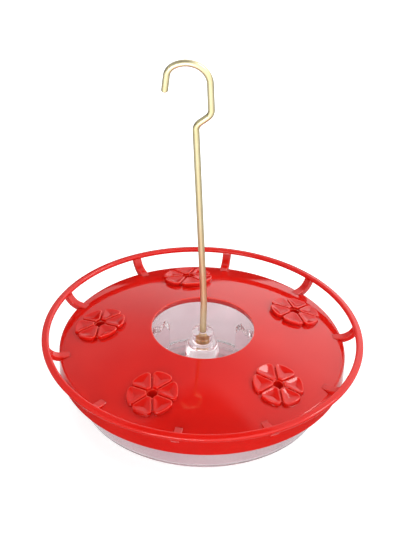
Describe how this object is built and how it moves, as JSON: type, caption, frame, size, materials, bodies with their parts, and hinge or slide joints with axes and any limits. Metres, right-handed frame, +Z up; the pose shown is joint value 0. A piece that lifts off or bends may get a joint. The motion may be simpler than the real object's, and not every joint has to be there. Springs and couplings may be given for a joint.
{
  "type": "hummingbird feeder",
  "caption": "Hanging saucer feeder for hummingbirds: clear bowl with an ant moat, red lift-off cover with flower ports and a perch ring, and a brass rod with an offset hook.",
  "frame": {"origin": "middle of the bowl's flat underside, on the surface that it stands on", "axes": "+Z up along the rod, +X to the side away from the hook's tip, +Y away from the viewer of the picture"},
  "size_m": [0.2008, 0.2008, 0.2385],
  "materials": {
    "clear_plastic": "clear, polished moulding",
    "red_plastic": "glossy moulding",
    "brass": "bright drawn wire"
  },
  "bodies": {
    "basin": {"basin": "clear_plastic", "ant_moat": "clear_plastic", "centre_hub": "clear_plastic", "threaded_insert": "brass"},
    "hanger": {"hanger_rod": "brass"},
    "left_catch": {"left_catch": "clear_plastic"},
    "right_catch": {"right_catch": "clear_plastic"},
    "cover": {"cover": "red_plastic", "perch_ring": "red_plastic", "flower_port_1": "red_plastic", "flower_port_2": "red_plastic", "flower_port_3": "red_plastic", "flower_port_4": "red_plastic", "flower_port_5": "red_plastic"}
  },
  "joints": [
    {"name": "cover_lift", "type": "slide", "parent": "basin", "child": "cover", "axis": [0, 0, 1], "range_m": [0, 0.2]},
    {"name": "hanger_turn", "type": "hinge", "parent": "basin", "child": "hanger", "pos_m": [0, 0, 0.04], "axis": [0, 0, 1], "continuous": true},
    {"name": "left_catch_flex", "type": "hinge", "parent": "basin", "child": "left_catch", "pos_m": [-0.0245, 0, 0.0183], "axis": [0, 1, 0], "range_deg": [0, 6], "stiffness_Nm_per_rad": 0.25},
    {"name": "right_catch_flex", "type": "hinge", "parent": "basin", "child": "right_catch", "pos_m": [0.0245, 0, 0.0183], "axis": [0, -1, 0], "range_deg": [0, 6], "stiffness_Nm_per_rad": 0.25}
  ]
}
